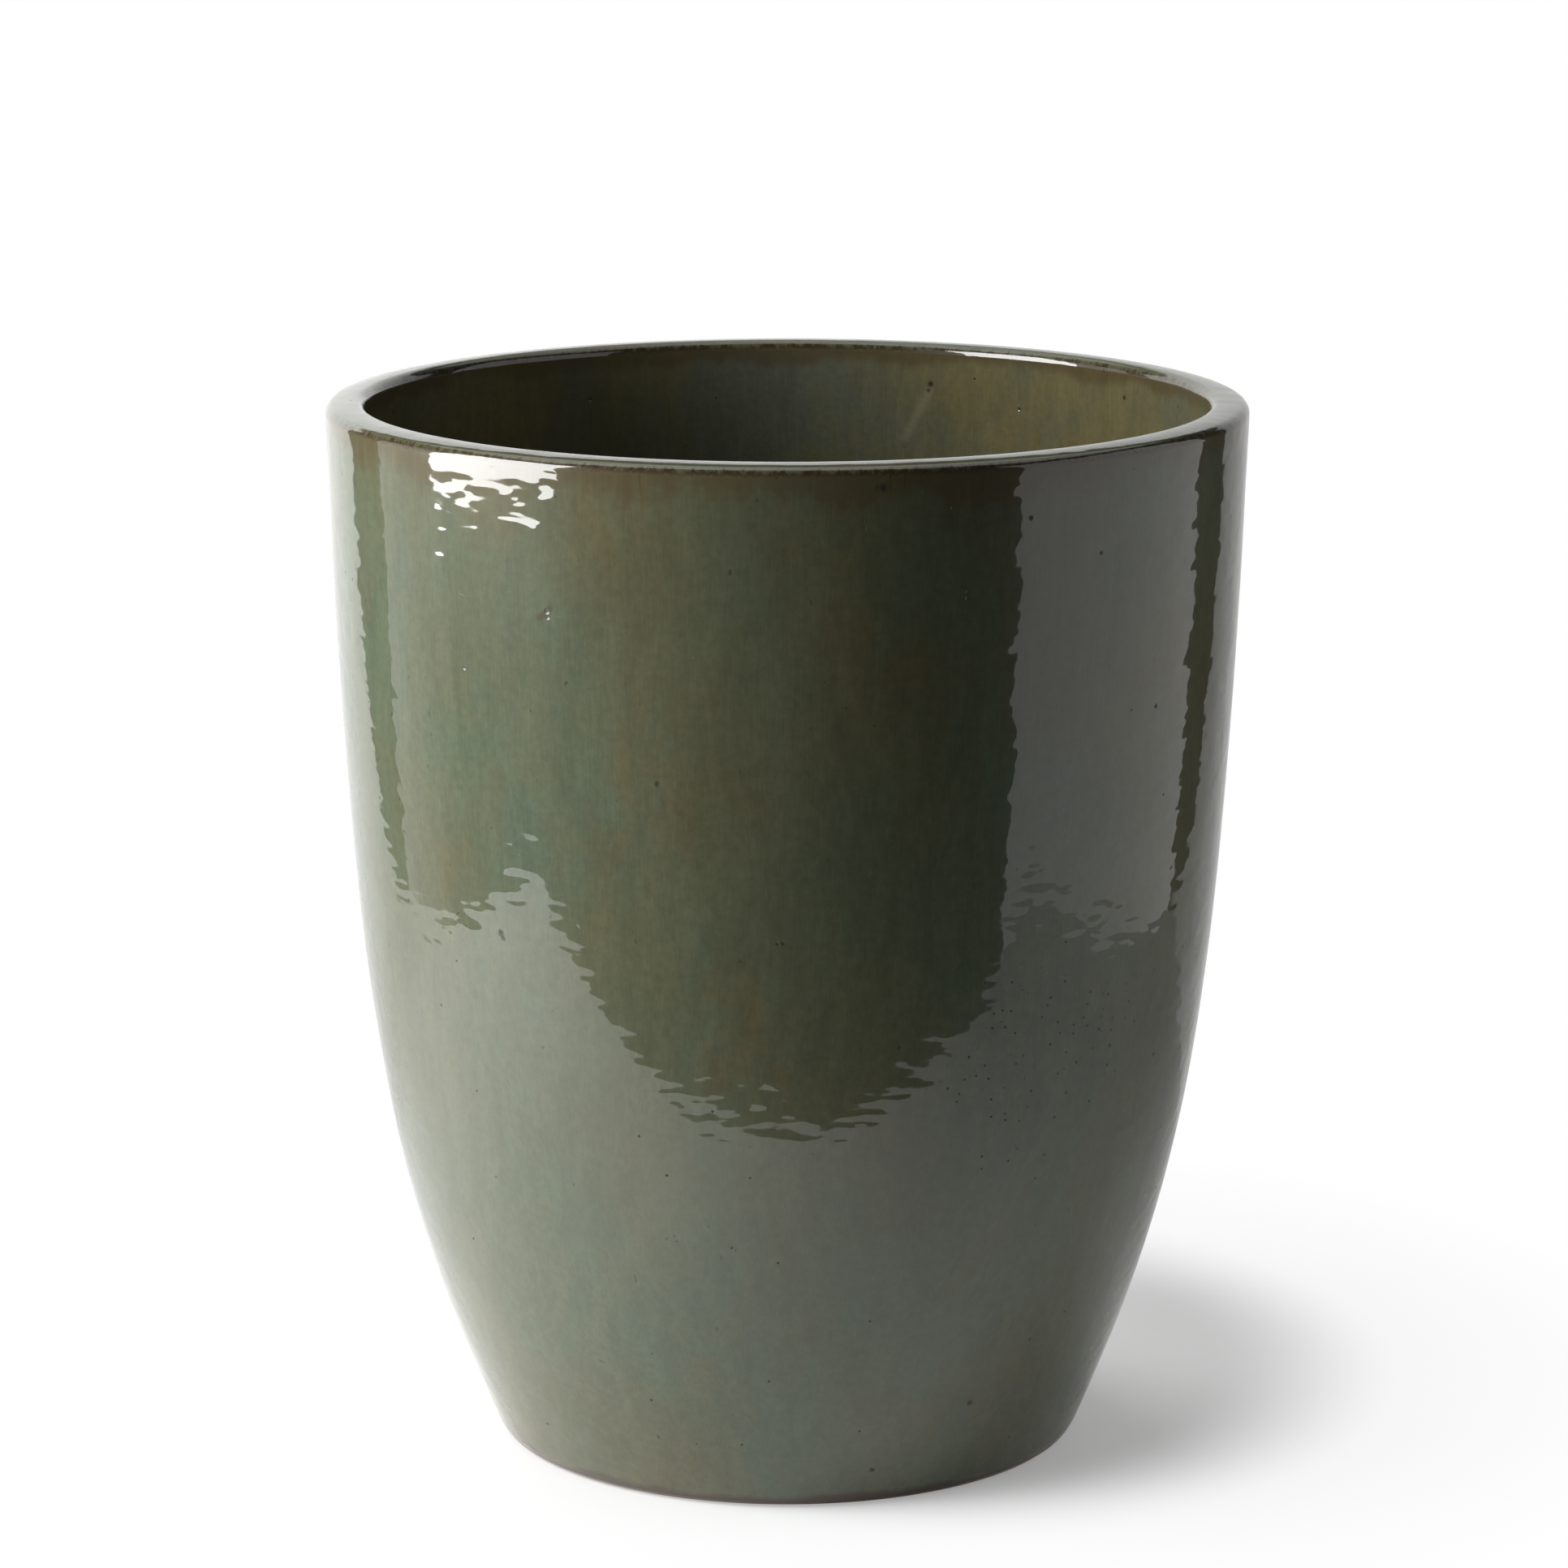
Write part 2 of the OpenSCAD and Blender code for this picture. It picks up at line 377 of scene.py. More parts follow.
def turn_on_wheel(name, outline, steps, ring=True):
    """Draws the outline edge by edge and spins it, into a ring or a solid with closed poles."""
    bpy.ops.object.select_all(action="DESELECT")
    bpy.ops.mesh.primitive_plane_add(size=0.01)
    piece = bpy.context.object
    piece.name = name
    bpy.ops.object.mode_set(mode="EDIT")
    bpy.ops.mesh.select_mode(type="VERT")
    bpy.ops.mesh.merge(type="CENTER")
    bpy.ops.transform.translate(value=(outline[0][0], 0.0, outline[0][1]))
    path = outline + [outline[0]] if ring else outline
    for (r0, z0), (r1, z1) in zip(path, path[1:]):
        bpy.ops.mesh.extrude_region_move(TRANSFORM_OT_translate={"value": (r1 - r0, 0.0, z1 - z0)})
    bpy.ops.mesh.select_all(action="SELECT")
    bpy.ops.mesh.remove_doubles(threshold=0.00001)
    bpy.ops.mesh.select_all(action="SELECT")
    bpy.ops.mesh.spin(steps=steps, angle=2 * math.pi, center=(0.0, 0.0, 0.0), axis=(0.0, 0.0, 1.0))
    bpy.ops.mesh.select_all(action="SELECT")
    bpy.ops.mesh.remove_doubles(threshold=0.00001)
    bpy.ops.mesh.normals_make_consistent(inside=False)
    bpy.ops.object.mode_set(mode="OBJECT")
    bpy.ops.object.shade_smooth_by_angle(angle=math.radians(40.0))
    return piece


foot_inner = foot_r - foot_width
recess_start, recess_end = drain_r + recess_round, foot_inner - 0.005
recess = []
for i in range(turning_rings * ring_steps + 1):
    share = i / (turning_rings * ring_steps)
    lift = ring_depth * abs(math.sin(math.pi * turning_rings * share))
    recess.append((recess_start + (recess_end - recess_start) * share, foot_recess + lift))
clay_outline = (
    arc((recess_start, foot_recess + recess_round), recess_round, math.pi, math.pi * 1.5, 4)[:-1]
    + recess
    + between(recess[-1], (foot_inner - edge_round, 0.0010), 4)
    + arc((foot_inner + edge_round, edge_round), edge_round, math.pi * 1.2, math.pi * 1.5, 3)
    + between((foot_inner + edge_round, 0.0), (foot_r - 0.0005, 0.0), 12)
    + arc(foot_centre, foot_round, -math.pi / 2, foot_top, 24)[1:]
    + outer_wall(glaze_thickness, 60)
    + lip_outer_arc(glaze_thickness, 6, 3)
    + arc(lip_inner_centre, lip_inner_round - glaze_thickness, math.pi / 2, lip_inner_end, 6)
    + inner_wall(glaze_thickness, 50)[1:]
    + floor_corner(glaze_thickness, 10)
    + between(floor_corner(glaze_thickness, 2)[-1], (drain_r + edge_round, clay_floor), 16)
    + arc((drain_r + edge_round, clay_floor - edge_round), edge_round, math.pi / 2, math.pi, 3)[1:]
    + between((drain_r, clay_floor - edge_round), (drain_r, foot_recess + recess_round), 8)[:-1]
)
clay = turn_on_wheel("fired_clay_body", clay_outline, 256)
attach(clay, "pot")
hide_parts("clay_body")


def new_group(name, sockets_in, sockets_out):
    """A node group with named inputs and outputs, and its two end nodes."""
    group = bpy.data.node_groups.new(name, "ShaderNodeTree")
    for label, kind, start in sockets_in:
        socket = group.interface.new_socket(label, in_out="INPUT", socket_type=kind)
        if start is not None:
            socket.default_value = start
    for label, kind in sockets_out:
        group.interface.new_socket(label, in_out="OUTPUT", socket_type=kind)
    return group, group.nodes.new("NodeGroupInput"), group.nodes.new("NodeGroupOutput")


def use_group(tree, group, inputs):
    return add_node(tree, "ShaderNodeGroup", inputs, node_tree=group)


def noise(tree, vector, scale, detail=2.0, roughness=0.5):
    return add_node(tree, "ShaderNodeTexNoise",
                    {"Vector": vector, "Scale": scale, "Detail": detail, "Roughness": roughness})


def blend(tree, share, first, second, how="MIX"):
    mix = add_node(tree, "ShaderNodeMix", {0: share, 6: first, 7: second},
                   data_type="RGBA", blend_type=how)
    return mix.outputs[2]


def stretched(tree, vector, scale):
    return add_node(tree, "ShaderNodeMapping", {"Vector": vector, "Scale": scale}).outputs["Vector"]


# Fired clay: fine sandy grain with darker grog and iron specks.
grain_group, grain_in, grain_out = new_group(
    "clay_grain",
    [("Vector", "NodeSocketVector", None), ("Clay", "NodeSocketColor", (0.30, 0.15, 0.09, 1.0)),
     ("Iron", "NodeSocketColor", (0.06, 0.025, 0.015, 1.0))],
    [("Color", "NodeSocketColor"), ("Height", "NodeSocketFloat")])
tree = grain_group
place = grain_in.outputs["Vector"]
cloudy = noise(tree, place, 30.0, 4.0).outputs["Fac"]
sandy = noise(tree, place, 1400.0, 2.0, 0.7).outputs["Fac"]
grog = add_node(tree, "ShaderNodeTexVoronoi", {"Vector": place, "Scale": 700.0})
speck = fade(tree, grog.outputs["Distance"], 0.10, 0.22, 1.0, 0.0)
tint = blend(tree, fade(tree, cloudy, 0.3, 0.7, 0.0, 0.35),
             grain_in.outputs["Clay"], (0.46, 0.27, 0.17, 1.0))
tint = blend(tree, fade(tree, sandy, 0.35, 0.75, 0.0, 0.5), tint, (0.2, 0.1, 0.06, 1.0))
tint = blend(tree, times(tree, speck, 0.7), tint, grain_in.outputs["Iron"])
tree.links.new(tint, grain_out.inputs["Color"])
height = maths(tree, "SUBTRACT", sandy, times(tree, speck, 0.6))
tree.links.new(height, grain_out.inputs["Height"])

fired_clay, tree, shader = new_material("fired_clay")
shader.inputs["Specular IOR Level"].default_value = 0.3
spot = tree.nodes.new("ShaderNodeTexCoord").outputs["Object"]
grain = use_group(tree, grain_group, {"Vector": spot})
tree.links.new(grain.outputs["Color"], shader.inputs["Base Color"])
tree.links.new(fade(tree, noise(tree, spot, 200.0).outputs["Fac"], 0.3, 0.7, 0.72, 0.92),
               shader.inputs["Roughness"])
bump = add_node(tree, "ShaderNodeBump", {"Height": grain.outputs["Height"], "Distance": 0.00012})
tree.links.new(bump.outputs["Normal"], shader.inputs["Normal"])
clay.data.materials.append(fired_clay)

# ---------------------------------------------------------------------------------------------
# Outer glaze: a glassy green coat, about a millimetre thick, over the outside and the lip. It
# stops in a small swollen bead just above the floor, and ripples where it ran over the clay.
coat_steps_up, coat_under_steps = 136, 30
bead_swell, bead_turn, bead_steps = 0.00035, 0.34, 12
bead_start = glaze_stop + 0.035
lip_rest, lip_fade = 0.006, 0.045

bead = []
for i in range(bead_steps):
    lean = bead_start + (foot_top - bead_start) * i / bead_steps
    swell = bead_swell * math.sin(math.pi * min(1.0, (lean - glaze_stop) / bead_turn))
    bead.append(around(foot_centre, foot_round + glaze_thickness + swell, lean))
outer_face = (
    bead
    + [wall_foot]
    + outer_wall(0.0, coat_steps_up)
    + lip_outer_arc(0.0, 12, 6)
    + [(lip_inner_centre[0], pot_height)]
    + arc(lip_inner_centre, lip_inner_round, math.pi / 2 + 0.14, lip_inner_end, 11)
)
outer_back = (
    arc(foot_centre, foot_round, bead_start, foot_top, 3)
    + outer_wall(glaze_thickness, coat_under_steps)
    + lip_outer_arc(glaze_thickness, 5, 2)
    + arc(lip_inner_centre, lip_inner_round - glaze_thickness, math.pi / 2, lip_inner_end, 4)
)
glaze_tip = around(foot_centre, foot_round + glaze_thickness / 2, glaze_stop)
outer_coat = turn_on_wheel("outer_glaze_coat", [glaze_tip] + outer_face + outer_back[::-1], 384)
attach(outer_coat, "pot")
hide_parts("outer_glaze")


def mark_face(piece, name, outward):
    """Puts a coat's open side in a vertex group that fades out just under the lip."""
    face = piece.vertex_groups.new(name=name)
    for vert in piece.data.vertices:
        reach = math.hypot(vert.co.x, vert.co.y)
        turned_out = (vert.normal.x * vert.co.x + vert.normal.y * vert.co.y) / reach
        if outward * turned_out > 0.25 or vert.normal.z > 0.6:
            below_lip = min(1.0, max(0.0, (pot_height - lip_rest - vert.co.z) / lip_fade))
            share = below_lip * below_lip * (3.0 - 2.0 * below_lip)
            face.add([vert.index], share, "REPLACE")


def ripple(piece, group, length, squeeze, depth):
    """Sinks the marked face by up to depth, in soft waves of a given length, squeezed upright."""
    cloud = bpy.data.textures.new(piece.name + "_ripple", "CLOUDS")
    cloud.noise_scale = length
    cloud.noise_depth = 1
    guide = bpy.data.objects.new("ripple_guide", None)
    bpy.context.scene.collection.objects.link(guide)
    guide.scale = (1.0, 1.0, squeeze)
    bpy.context.view_layer.update()
    wave = piece.modifiers.new("ripple", "DISPLACE")
    wave.texture = cloud
    wave.texture_coords = "OBJECT"
    wave.texture_coords_object = guide
    wave.direction = "NORMAL"
    wave.vertex_group = group
    wave.mid_level = 1.0
    wave.strength = depth
    bpy.ops.object.select_all(action="DESELECT")
    piece.select_set(True)
    bpy.context.view_layer.objects.active = piece
    bpy.ops.object.modifier_apply(modifier=wave.name)
    bpy.data.objects.remove(guide)


mark_face(outer_coat, "outside", 1.0)
ripple(outer_coat, "outside", 0.055, 1.0, 0.00042)
ripple(outer_coat, "outside", 0.020, 0.45, 0.00006)

# The colours come from copper and iron in one glaze: olive grey where it is even, teal where it
# is thick, ochre and brown where it thins at the lip. It carries soft upright runs.
glaze_group, glaze_in, glaze_out = new_group(
    "kiln_glaze",
    [("Vector", "NodeSocketVector", None),
     ("Olive", "NodeSocketColor", (0.085, 0.090, 0.053, 1.0)),
     ("Teal", "NodeSocketColor", (0.073, 0.094, 0.060, 1.0)),
     ("Ochre", "NodeSocketColor", (0.095, 0.085, 0.046, 1.0)),
     ("Thick", "NodeSocketFloat", 0.0), ("Thin", "NodeSocketFloat", 0.0)],
    [("Color", "NodeSocketColor")])
tree = glaze_group
place = glaze_in.outputs["Vector"]
sway = noise(tree, place, 9.0, 2.0).outputs["Color"]
swayed = add_node(tree, "ShaderNodeVectorMath", {0: sway, 1: (0.05, 0.05, 0.05), 2: place},
                  operation="MULTIPLY_ADD").outputs[0]
patches = noise(tree, stretched(tree, swayed, (1.0, 1.0, 0.5)), 13.0, 3.0).outputs["Fac"]
clouds = noise(tree, stretched(tree, swayed, (1.0, 1.0, 0.6)), 45.0, 6.0, 0.68).outputs["Fac"]
runs = noise(tree, stretched(tree, swayed, (1.0, 1.0, 0.07)), 110.0, 5.0, 0.65).outputs["Fac"]
silk = noise(tree, stretched(tree, place, (1.0, 1.0, 0.05)), 1100.0, 2.0, 0.6).outputs["Fac"]
mottle = noise(tree, place, 260.0, 4.0, 0.7).outputs["Fac"]
teal_share = maths(tree, "ADD", fade(tree, patches, 0.46, 0.66, 0.0, 0.7),
                   glaze_in.outputs["Thick"])
teal_share = times(tree, teal_share, fade(tree, clouds, 0.36, 0.60, 0.35, 1.15))
ochre_share = maths(tree, "ADD", fade(tree, patches, 0.47, 0.30, 0.0, 0.6),
                    glaze_in.outputs["Thin"])
ochre_share = times(tree, ochre_share, fade(tree, clouds, 0.62, 0.38, 0.35, 1.25))
tone = blend(tree, maths(tree, "MINIMUM", teal_share, 1.0),
             glaze_in.outputs["Olive"], glaze_in.outputs["Teal"])
tone = blend(tree, maths(tree, "MINIMUM", ochre_share, 1.0), tone, glaze_in.outputs["Ochre"])
light_run = fade(tree, runs, 0.32, 0.68, 0.93, 1.07)
light_silk = fade(tree, silk, 0.25, 0.75, 0.94, 1.06)
light_mottle = fade(tree, mottle, 0.30, 0.70, 0.92, 1.08)
light = times(tree, times(tree, light_run, light_mottle), light_silk)
grey_light = add_node(tree, "ShaderNodeCombineXYZ", {0: light, 1: light, 2: light}).outputs[0]
tree.links.new(blend(tree, 1.0, tone, grey_light, "MULTIPLY"), glaze_out.inputs["Color"])

# Scattered round marks of one size: pinholes where gas broke through, specks, and dust under the
# glaze.
pin_group, pin_in, pin_out = new_group(
    "pinholes",
    [("Vector", "NodeSocketVector", None), ("Scale", "NodeSocketFloat", 200.0),
     ("Radius", "NodeSocketFloat", 0.09), ("Share", "NodeSocketFloat", 0.1),
     ("Softness", "NodeSocketFloat", 0.03)],
    [("Mask", "NodeSocketFloat")])
tree = pin_group
cells = add_node(tree, "ShaderNodeTexVoronoi",
                 {"Vector": pin_in.outputs["Vector"], "Scale": pin_in.outputs["Scale"]})
luck = add_node(tree, "ShaderNodeSeparateColor", {0: cells.outputs["Color"]}).outputs[0]
chosen_cell = maths(tree, "LESS_THAN", luck, pin_in.outputs["Share"])
size = times(tree, chosen_cell, pin_in.outputs["Radius"])
hole = maths(tree, "SUBTRACT", size, cells.outputs["Distance"])
tree.links.new(fade(tree, hole, 0.0, pin_in.outputs["Softness"]), pin_out.inputs["Mask"])

# Ripple: the fine orange-peel skin of the glaze, longer around the pot than up it, with here and
# there a grain of dust that lifts it.
ripple_group, ripple_in, ripple_out = new_group(
    "glaze_ripple",
    [("Vector", "NodeSocketVector", None), ("Fine", "NodeSocketFloat", 1.0),
     ("Broad", "NodeSocketFloat", 1.0)],
    [("Height", "NodeSocketFloat")])
tree = ripple_group
place = ripple_in.outputs["Vector"]
fine = noise(tree, stretched(tree, place, (1.0, 1.0, 2.1)), 84.0, 0.6, 0.4).outputs["Fac"]
broad = noise(tree, stretched(tree, place, (1.0, 1.0, 1.4)), 28.0, 1.0).outputs["Fac"]
patchy = fade(tree, noise(tree, place, 35.0, 2.0).outputs["Fac"], 0.35, 0.65, 1.0, 2.2)
dust = use_group(tree, pin_group, {
    "Vector": stretched(tree, place, (1.0, 1.0, 1.7)), "Scale": 120.0, "Radius": 0.30,
    "Share": 0.10, "Softness": 0.30}).outputs["Mask"]
wave = times(tree, times(tree, fine, patchy), ripple_in.outputs["Fine"])
wave = maths(tree, "ADD", wave, times(tree, broad, ripple_in.outputs["Broad"]))
wave = maths(tree, "ADD", wave, times(tree, dust, 0.07))
tree.links.new(wave, ripple_out.inputs["Height"])

wall_points = outer_wall(0.0, 200)


def on_wall(turn, height):
    """A point on the outer wall, a turn in degrees from the front towards the right."""
    reach = max(r for r, z in wall_points if z <= height)
    return (reach * math.sin(math.radians(turn)), -reach * math.cos(math.radians(turn)), height)


def patch_share(tree, vector, patches):
    """Soft round patches, each (point, radius, strength), added up."""
    total = None
    for centre, radius, strength in patches:
        off = add_node(tree, "ShaderNodeVectorMath", {0: vector, 1: centre}, operation="DISTANCE")
        share = fade(tree, off.outputs["Value"], radius * 0.25, radius, strength, 0.0)
        total = share if total is None else maths(tree, "ADD", total, share)
    return total


def strayed(tree, vector, clouds, reach):
    """Moves a point by up to half of reach to any side, as coloured noise says."""
    moved = add_node(tree, "ShaderNodeVectorMath",
                     {0: clouds.outputs["Color"], 1: (reach, reach, reach), 2: vector},
                     operation="MULTIPLY_ADD").outputs[0]
    return add_node(tree, "ShaderNodeVectorMath", {0: moved, 1: (reach / 2, reach / 2, reach / 2)},
                    operation="SUBTRACT").outputs[0]


outer_glaze, tree, shader = new_material("outer_glaze")
shader.inputs["IOR"].default_value = 1.56
shader.inputs["Coat Roughness"].default_value = 0.30
spot = tree.nodes.new("ShaderNodeTexCoord").outputs["Object"]
up = add_node(tree, "ShaderNodeSeparateXYZ", {0: spot}).outputs["Z"]
loose = strayed(tree, spot, noise(tree, spot, 14.0, 3.0), 0.07)
thick = patch_share(tree, loose, [
    (on_wall(-19, 0.319), 0.060, 0.7), (on_wall(-31, 0.287), 0.050, 0.5),
    (on_wall(-45, 0.322), 0.050, 0.3), (on_wall(27, 0.305), 0.050, 0.6),
    (on_wall(40, 0.318), 0.050, 0.4), (on_wall(-17, 0.100), 0.075, 0.8),
    (on_wall(-9, 0.066), 0.060, 0.6), (on_wall(4, 0.028), 0.045, 0.6),
    (on_wall(12, 0.143), 0.050, 0.3), (on_wall(34, 0.215), 0.080, 0.8),
    (on_wall(36, 0.140), 0.070, 0.6), (on_wall(22, 0.090), 0.060, 0.4)])
thin = patch_share(tree, loose, [
    (on_wall(4, 0.415), 0.040, 0.5), (on_wall(10, 0.377), 0.045, 0.7),
    (on_wall(-22, 0.435), 0.045, 0.6), (on_wall(-38, 0.448), 0.035, 0.5),
    (on_wall(-1, 0.210), 0.050, 0.7), (on_wall(-48, 0.292), 0.016, 0.8),
    (on_wall(-32, 0.022), 0.045, 0.3), (on_wall(40, 0.045), 0.060, 0.5),
    (on_wall(-10, 0.235), 0.040, 0.4)])
glaze = use_group(tree, glaze_group, {"Vector": spot, "Thick": thick, "Thin": thin})

# Under the lip the glaze thins to an uneven brown band, and on the lip's outer edge it breaks to
# a ragged dark line with short ticks below it.
round_the_rim = stretched(tree, spot, (1.0, 1.0, 0.0))
wander = noise(tree, round_the_rim, 26.0, 4.0, 0.65).outputs["Fac"]
ticks = noise(tree, round_the_rim, 260.0, 3.0, 0.75).outputs["Fac"]
blotch = noise(tree, spot, 140.0, 4.0, 0.7).outputs["Fac"]
band_low = maths(tree, "ADD", up, fade(tree, wander, 0.30, 0.70, 0.008, -0.006))
band_low = maths(tree, "ADD", band_low, fade(tree, blotch, 0.30, 0.70, -0.003, 0.003))
band = fade(tree, band_low, pot_height - 0.018, pot_height - 0.006)
band = times(tree, band, fade(tree, ticks, 0.30, 0.65, 0.60, 1.0))
band = times(tree, band, fade(tree, up, pot_height - 0.0030, pot_height - 0.0012, 1.0, 0.15))
tone = blend(tree, times(tree, band, 0.70), glaze.outputs["Color"], (0.075, 0.052, 0.024, 1.0))
edge = maths(tree, "ADD", up, fade(tree, ticks, 0.30, 0.70, 0.0010, -0.0010))
break_line = times(tree, fade(tree, edge, pot_height - 0.0048, pot_height - 0.0034),
                   fade(tree, edge, pot_height - 0.0014, pot_height - 0.0026))
break_line = times(tree, break_line, fade(tree, ticks, 0.38, 0.60, 0.25, 0.9))
tone = blend(tree, break_line, tone, (0.030, 0.019, 0.010, 1.0))
below_break = times(tree, fade(tree, up, pot_height - 0.011, pot_height - 0.007),
                    fade(tree, up, pot_height - 0.002, pot_height - 0.004))
tick = times(tree, fade(tree, ticks, 0.66, 0.72), below_break)
tone = blend(tree, times(tree, tick, 0.8), tone, (0.012, 0.008, 0.005, 1.0))

# Just above the foot the coat thins and browns again.
foot_low = maths(tree, "ADD", up, fade(tree, wander, 0.3, 0.7, -0.0015, 0.0015))
foot_band = fade(tree, foot_low, 0.0075, 0.0042)
tone = blend(tree, times(tree, foot_band, 0.85), tone, (0.050, 0.028, 0.017, 1.0))

# Pinholes in a cluster on the front right, thin elsewhere, with faint brown specks all over.
cluster = patch_share(tree, spot, [
    (on_wall(33, 0.203), 0.058, 0.75), (on_wall(47, 0.215), 0.035, 0.45)])
holes_and_shade = use_group(tree, pin_group, {
    "Vector": spot, "Scale": 260.0, "Radius": 0.17,
    "Share": maths(tree, "ADD", cluster, 0.010)}).outputs["Mask"]
specks = use_group(tree, pin_group, {
    "Vector": stretched(tree, loose, (1.0, 1.0, 0.6)), "Scale": 300.0, "Radius": 0.24,
    "Share": 0.022, "Softness": 0.12}).outputs["Mask"]
tone = blend(tree, times(tree, specks, 0.60), tone, (0.034, 0.024, 0.012, 1.0))

# Pits where a bubble burst, each a small hollow with a brown margin and painted shade in its
# bottom.
pits = patch_share(tree, spot, [
    (on_wall(-29.6, 0.3985), 0.0015, 1.0), (on_wall(-29.5, 0.3960), 0.0012, 0.8),
    (on_wall(-42.5, 0.370), 0.0012, 1.0), (on_wall(-15.6, 0.330), 0.0018, 1.0),
    (on_wall(-38.8, 0.2585), 0.0020, 1.0), (on_wall(-38.5, 0.2565), 0.0016, 0.9),
    (on_wall(-1.2, 0.264), 0.0012, 1.0), (on_wall(-0.5, 0.2642), 0.0014, 1.0),
    (on_wall(21.5, 0.4085), 0.0012, 0.8), (on_wall(21.5, 0.4060), 0.0012, 0.8),
    (on_wall(29.5, 0.437), 0.0015, 1.0), (on_wall(11.2, 0.453), 0.0020, 1.0),
    (on_wall(32.1, 0.046), 0.0022, 0.9), (on_wall(15.5, 0.018), 0.0019, 0.9),
    (on_wall(59.1, 0.192), 0.0019, 0.9), (on_wall(40.2, 0.419), 0.0016, 1.0),
    (on_wall(51.7, 0.349), 0.0016, 1.0)])
margins = patch_share(tree, loose, [
    (on_wall(-38.8, 0.2575), 0.0045, 0.8), (on_wall(11.2, 0.453), 0.0040, 0.6),
    (on_wall(32.1, 0.046), 0.0050, 0.5), (on_wall(-29.6, 0.397), 0.0025, 0.5)])
tone = blend(tree, maths(tree, "MINIMUM", margins, 0.6), tone, (0.050, 0.030, 0.012, 1.0))
holes_and_shade = maths(tree, "MINIMUM", maths(tree, "ADD", holes_and_shade, pits), 1.0)
# Painted shade: the holes and pits are coloured near black for the shade inside them.
tone = blend(tree, times(tree, holes_and_shade, 0.9), tone, (0.008, 0.007, 0.005, 1.0))
tree.links.new(tone, shader.inputs["Base Color"])
gloss = fade(tree, noise(tree, spot, 60.0, 4.0, 0.7).outputs["Fac"], 0.35, 0.75, 0.025, 0.055)
tree.links.new(maths(tree, "MAXIMUM", gloss, times(tree, holes_and_shade, 0.6)),
               shader.inputs["Roughness"])
haze = fade(tree, noise(tree, spot, 25.0, 4.0, 0.6).outputs["Fac"], 0.3, 0.7, 0.18, 0.26)
haze = times(tree, haze, maths(tree, "SUBTRACT", 1.0, holes_and_shade))
tree.links.new(haze, shader.inputs["Coat Weight"])
wavy = use_group(tree, ripple_group, {"Vector": spot, "Fine": 1.0, "Broad": 2.0}).outputs["Height"]
height = maths(tree, "SUBTRACT", wavy, times(tree, holes_and_shade, 1.1))
bump = add_node(tree, "ShaderNodeBump", {"Height": height, "Distance": 0.00013})
tree.links.new(bump.outputs["Normal"], shader.inputs["Normal"])
outer_coat.data.materials.append(outer_glaze)

# ---------------------------------------------------------------------------------------------
# Inner glaze: the same glaze poured inside, darker and more olive, pooled on the floor and wiped
# back from the drain hole before firing.
drain_margin = 0.003
inner_face = (
    [around(lip_inner_centre, lip_inner_round, lip_inner_end)]
    + inner_wall(0.0, 110)[1:]
    + floor_corner(0.0, 16)
    + between(floor_corner(0.0, 2)[-1], (drain_r + drain_margin + 0.0006, pot_floor), 18)
)
inner_back = (
    [around(lip_inner_centre, lip_inner_round - glaze_thickness, lip_inner_end)]
    + inner_wall(glaze_thickness, 30)[1:]
    + floor_corner(glaze_thickness, 6)
    + between(floor_corner(glaze_thickness, 2)[-1], (drain_r + drain_margin, clay_floor), 4)
)
inner_coat = turn_on_wheel("inner_glaze_coat", inner_face + inner_back[::-1], 320)
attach(inner_coat, "pot")
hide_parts("inner_glaze")

mark_face(inner_coat, "inside", -1.0)
ripple(inner_coat, "inside", 0.060, 0.8, 0.00045)
ripple(inner_coat, "inside", 0.022, 0.5, 0.00006)

inner_glaze, tree, shader = new_material("inner_glaze")
shader.inputs["IOR"].default_value = 1.56
spot = tree.nodes.new("ShaderNodeTexCoord").outputs["Object"]
up = add_node(tree, "ShaderNodeSeparateXYZ", {0: spot}).outputs["Z"]


def on_inside(turn, height):
    """A point on the inner wall, a turn in degrees from the front towards the right."""
    x, y, z = on_wall(turn, height)
    share = 1.0 - rim_wall / math.hypot(x, y)
    return (x * share, y * share, z)


loose = strayed(tree, spot, noise(tree, spot, 22.0, 4.0, 0.6), 0.06)
thick = patch_share(tree, loose, [
    (on_inside(180, 0.435), 0.070, 0.9), (on_inside(195, 0.430), 0.050, 0.5),
    (on_inside(165, 0.400), 0.050, 0.4)])
thin = patch_share(tree, loose, [
    (on_inside(137, 0.430), 0.080, 0.9), (on_inside(118, 0.425), 0.070, 0.7),
    (on_inside(-137, 0.440), 0.040, 0.7), (on_inside(-124, 0.425), 0.060, 0.5),
    (on_inside(153, 0.440), 0.030, 0.6)])
glaze = use_group(tree, glaze_group, {
    "Vector": stretched(tree, spot, (1.3, 1.3, 1.3)),
    "Olive": (0.085, 0.080, 0.042, 1.0), "Teal": (0.074, 0.080, 0.058, 1.0),
    "Ochre": (0.104, 0.091, 0.044, 1.0), "Thick": thick, "Thin": thin})
round_the_rim = stretched(tree, spot, (1.0, 1.0, 0.0))
wander = noise(tree, round_the_rim, 30.0, 3.0, 0.6).outputs["Fac"]
band = fade(tree, maths(tree, "ADD", up, fade(tree, wander, 0.25, 0.75, 0.004, -0.003)),
            pot_height - 0.012, pot_height - 0.006)
tone = blend(tree, times(tree, band, 0.6), glaze.outputs["Color"], (0.055, 0.036, 0.016, 1.0))
holes_and_shade = use_group(tree, pin_group, {
    "Vector": spot, "Scale": 150.0, "Radius": 0.10, "Share": 0.03}).outputs["Mask"]
craters = patch_share(tree, spot, [
    (on_inside(158.5, 0.4435), 0.0020, 1.0), (on_inside(158.8, 0.4405), 0.0014, 0.8),
    (on_inside(123.3, 0.447), 0.0016, 1.0), (on_inside(144.0, 0.435), 0.0013, 0.9),
    (on_inside(-150.0, 0.438), 0.0012, 0.8)])
